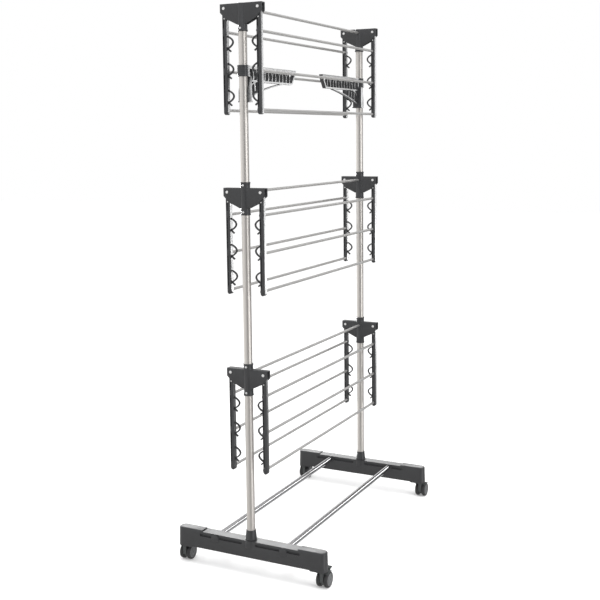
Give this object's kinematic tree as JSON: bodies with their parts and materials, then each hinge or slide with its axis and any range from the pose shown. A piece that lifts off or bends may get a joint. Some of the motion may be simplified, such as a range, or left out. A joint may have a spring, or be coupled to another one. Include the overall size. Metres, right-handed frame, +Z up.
{
  "type": "clothes drying rack",
  "caption": "Tall wheeled clothes airer: two steel uprights carry tiers of rods in folding wings, with swing-out hanger arms and a tube base.",
  "frame": {"origin": "on the floor, midway between the two uprights", "axes": "+X along the rods from the left upright to the right, +Y to the back, +Z up; the wings named front are at -Y"},
  "size_m": [0.9, 0.513, 1.7],
  "materials": {
    "frame_plastic": "fine satin moulded charcoal plastic",
    "upright_steel": "polished stainless tube",
    "rod_steel": "bright stainless rod",
    "base_chrome": "chromed tube",
    "fastener_steel": "bright zinc",
    "caster_plastic": "satin dark plastic",
    "wheel_plastic": "hard grey-black wheel plastic"
  },
  "bodies": {
    "root": {"back_base_tube": "base_chrome", "caster_stems": "fastener_steel", "centre_rods": "rod_steel", "collar_screws": "fastener_steel", "front_base_tube": "base_chrome", "left_base_collar": "frame_plastic", "left_foot": "frame_plastic", "left_upright_lower": "upright_steel", "left_upright_middle": "upright_steel", "left_upright_upper": "upright_steel", "right_base_collar": "frame_plastic", "right_foot": "frame_plastic", "right_upright_lower": "upright_steel", "right_upright_middle": "upright_steel", "right_upright_upper": "upright_steel", "tier1_left_bracket": "frame_plastic", "tier1_right_bracket": "frame_plastic", "tier2_left_bracket": "frame_plastic", "tier2_right_bracket": "frame_plastic", "tier3_left_bracket": "frame_plastic", "tier3_right_bracket": "frame_plastic", "wing_pivot_pins": "fastener_steel"},
    "tier1_front_wing": {"tier1_front_hooks": "frame_plastic", "tier1_front_left_arm": "frame_plastic", "tier1_front_right_arm": "frame_plastic", "tier1_front_rods": "rod_steel"},
    "tier1_back_wing": {"tier1_back_hooks": "frame_plastic", "tier1_back_left_arm": "frame_plastic", "tier1_back_right_arm": "frame_plastic", "tier1_back_rods": "rod_steel"},
    "tier2_front_wing": {"tier2_front_hooks": "frame_plastic", "tier2_front_left_arm": "frame_plastic", "tier2_front_right_arm": "frame_plastic", "tier2_front_rods": "rod_steel"},
    "tier2_back_wing": {"tier2_back_hooks": "frame_plastic", "tier2_back_left_arm": "frame_plastic", "tier2_back_right_arm": "frame_plastic", "tier2_back_rods": "rod_steel"},
    "tier3_front_wing": {"tier3_front_hooks": "frame_plastic", "tier3_front_left_arm": "frame_plastic", "tier3_front_right_arm": "frame_plastic", "tier3_front_rods": "rod_steel"},
    "tier3_back_wing": {"tier3_back_hooks": "frame_plastic", "tier3_back_left_arm": "frame_plastic", "tier3_back_right_arm": "frame_plastic", "tier3_back_rods": "rod_steel"},
    "left_hanger": {"left_hanger_arm": "frame_plastic"},
    "right_hanger": {"right_hanger_arm": "frame_plastic"},
    "left_back_brake": {"left_back_brake_lever": "caster_plastic"},
    "left_back_swivel": {"left_back_caster_housing": "caster_plastic"},
    "left_back_wheels": {"left_back_caster_wheels": "wheel_plastic"},
    "left_front_brake": {"left_front_brake_lever": "caster_plastic"},
    "left_front_swivel": {"left_front_caster_housing": "caster_plastic"},
    "left_front_wheels": {"left_front_caster_wheels": "wheel_plastic"},
    "right_back_swivel": {"right_back_caster_housing": "caster_plastic"},
    "right_back_wheels": {"right_back_caster_wheels": "wheel_plastic"},
    "right_front_swivel": {"right_front_caster_housing": "caster_plastic"},
    "right_front_wheels": {"right_front_caster_wheels": "wheel_plastic"}
  },
  "joints": [
    {"name": "tier1_front_wing_fold", "type": "hinge", "parent": "root", "child": "tier1_front_wing", "pos_m": [0, -0.0555, 0.6235], "axis": [-1, 0, 0], "range_deg": [0, 90]},
    {"name": "tier1_back_wing_fold", "type": "hinge", "parent": "root", "child": "tier1_back_wing", "pos_m": [0, 0.0555, 0.6235], "axis": [1, 0, 0], "range_deg": [0, 90]},
    {"name": "tier2_front_wing_fold", "type": "hinge", "parent": "root", "child": "tier2_front_wing", "pos_m": [0, -0.0555, 1.1615], "axis": [-1, 0, 0], "range_deg": [0, 90]},
    {"name": "tier2_back_wing_fold", "type": "hinge", "parent": "root", "child": "tier2_back_wing", "pos_m": [0, 0.0555, 1.1615], "axis": [1, 0, 0], "range_deg": [0, 90]},
    {"name": "tier3_front_wing_fold", "type": "hinge", "parent": "root", "child": "tier3_front_wing", "pos_m": [0, -0.0555, 1.6875], "axis": [-1, 0, 0], "range_deg": [0, 90]},
    {"name": "tier3_back_wing_fold", "type": "hinge", "parent": "root", "child": "tier3_back_wing", "pos_m": [0, 0.0555, 1.6875], "axis": [1, 0, 0], "range_deg": [0, 90]},
    {"name": "left_hanger_swing", "type": "hinge", "parent": "root", "child": "left_hanger", "pos_m": [-0.42, 0, 1.47], "axis": [0, 0, 1], "range_deg": [0, 80]},
    {"name": "right_hanger_swing", "type": "hinge", "parent": "root", "child": "right_hanger", "pos_m": [0.42, 0, 1.47], "axis": [0, 0, 1], "range_deg": [0, 80]},
    {"name": "left_front_caster_swivel", "type": "hinge", "parent": "root", "child": "left_front_swivel", "pos_m": [-0.42, -0.238, 0.05], "axis": [0, 0, 1], "continuous": true},
    {"name": "left_front_wheels_roll", "type": "hinge", "parent": "left_front_swivel", "child": "left_front_wheels", "pos_m": [-0.405, -0.238, 0.024], "axis": [0, 1, 0], "continuous": true},
    {"name": "left_front_brake_press", "type": "hinge", "parent": "left_front_swivel", "child": "left_front_brake", "pos_m": [-0.3845, -0.238, 0.0435], "axis": [0, 1, 0], "range_deg": [0, 18]},
    {"name": "left_back_caster_swivel", "type": "hinge", "parent": "root", "child": "left_back_swivel", "pos_m": [-0.42, 0.238, 0.05], "axis": [0, 0, 1], "continuous": true},
    {"name": "left_back_wheels_roll", "type": "hinge", "parent": "left_back_swivel", "child": "left_back_wheels", "pos_m": [-0.405, 0.238, 0.024], "axis": [0, 1, 0], "continuous": true},
    {"name": "left_back_brake_press", "type": "hinge", "parent": "left_back_swivel", "child": "left_back_brake", "pos_m": [-0.3845, 0.238, 0.0435], "axis": [0, 1, 0], "range_deg": [0, 18]},
    {"name": "right_front_caster_swivel", "type": "hinge", "parent": "root", "child": "right_front_swivel", "pos_m": [0.42, -0.238, 0.05], "axis": [0, 0, 1], "continuous": true},
    {"name": "right_front_wheels_roll", "type": "hinge", "parent": "right_front_swivel", "child": "right_front_wheels", "pos_m": [0.435, -0.238, 0.024], "axis": [0, 1, 0], "continuous": true},
    {"name": "right_back_caster_swivel", "type": "hinge", "parent": "root", "child": "right_back_swivel", "pos_m": [0.42, 0.238, 0.05], "axis": [0, 0, 1], "continuous": true},
    {"name": "right_back_wheels_roll", "type": "hinge", "parent": "right_back_swivel", "child": "right_back_wheels", "pos_m": [0.435, 0.238, 0.024], "axis": [0, 1, 0], "continuous": true}
  ],
  "couplings": [
    {"joint": "left_hanger_swing", "follows": "tier3_back_wing_fold", "ratio": 0.8888},
    {"joint": "right_hanger_swing", "follows": "tier3_front_wing_fold", "ratio": 0.8888}
  ]
}
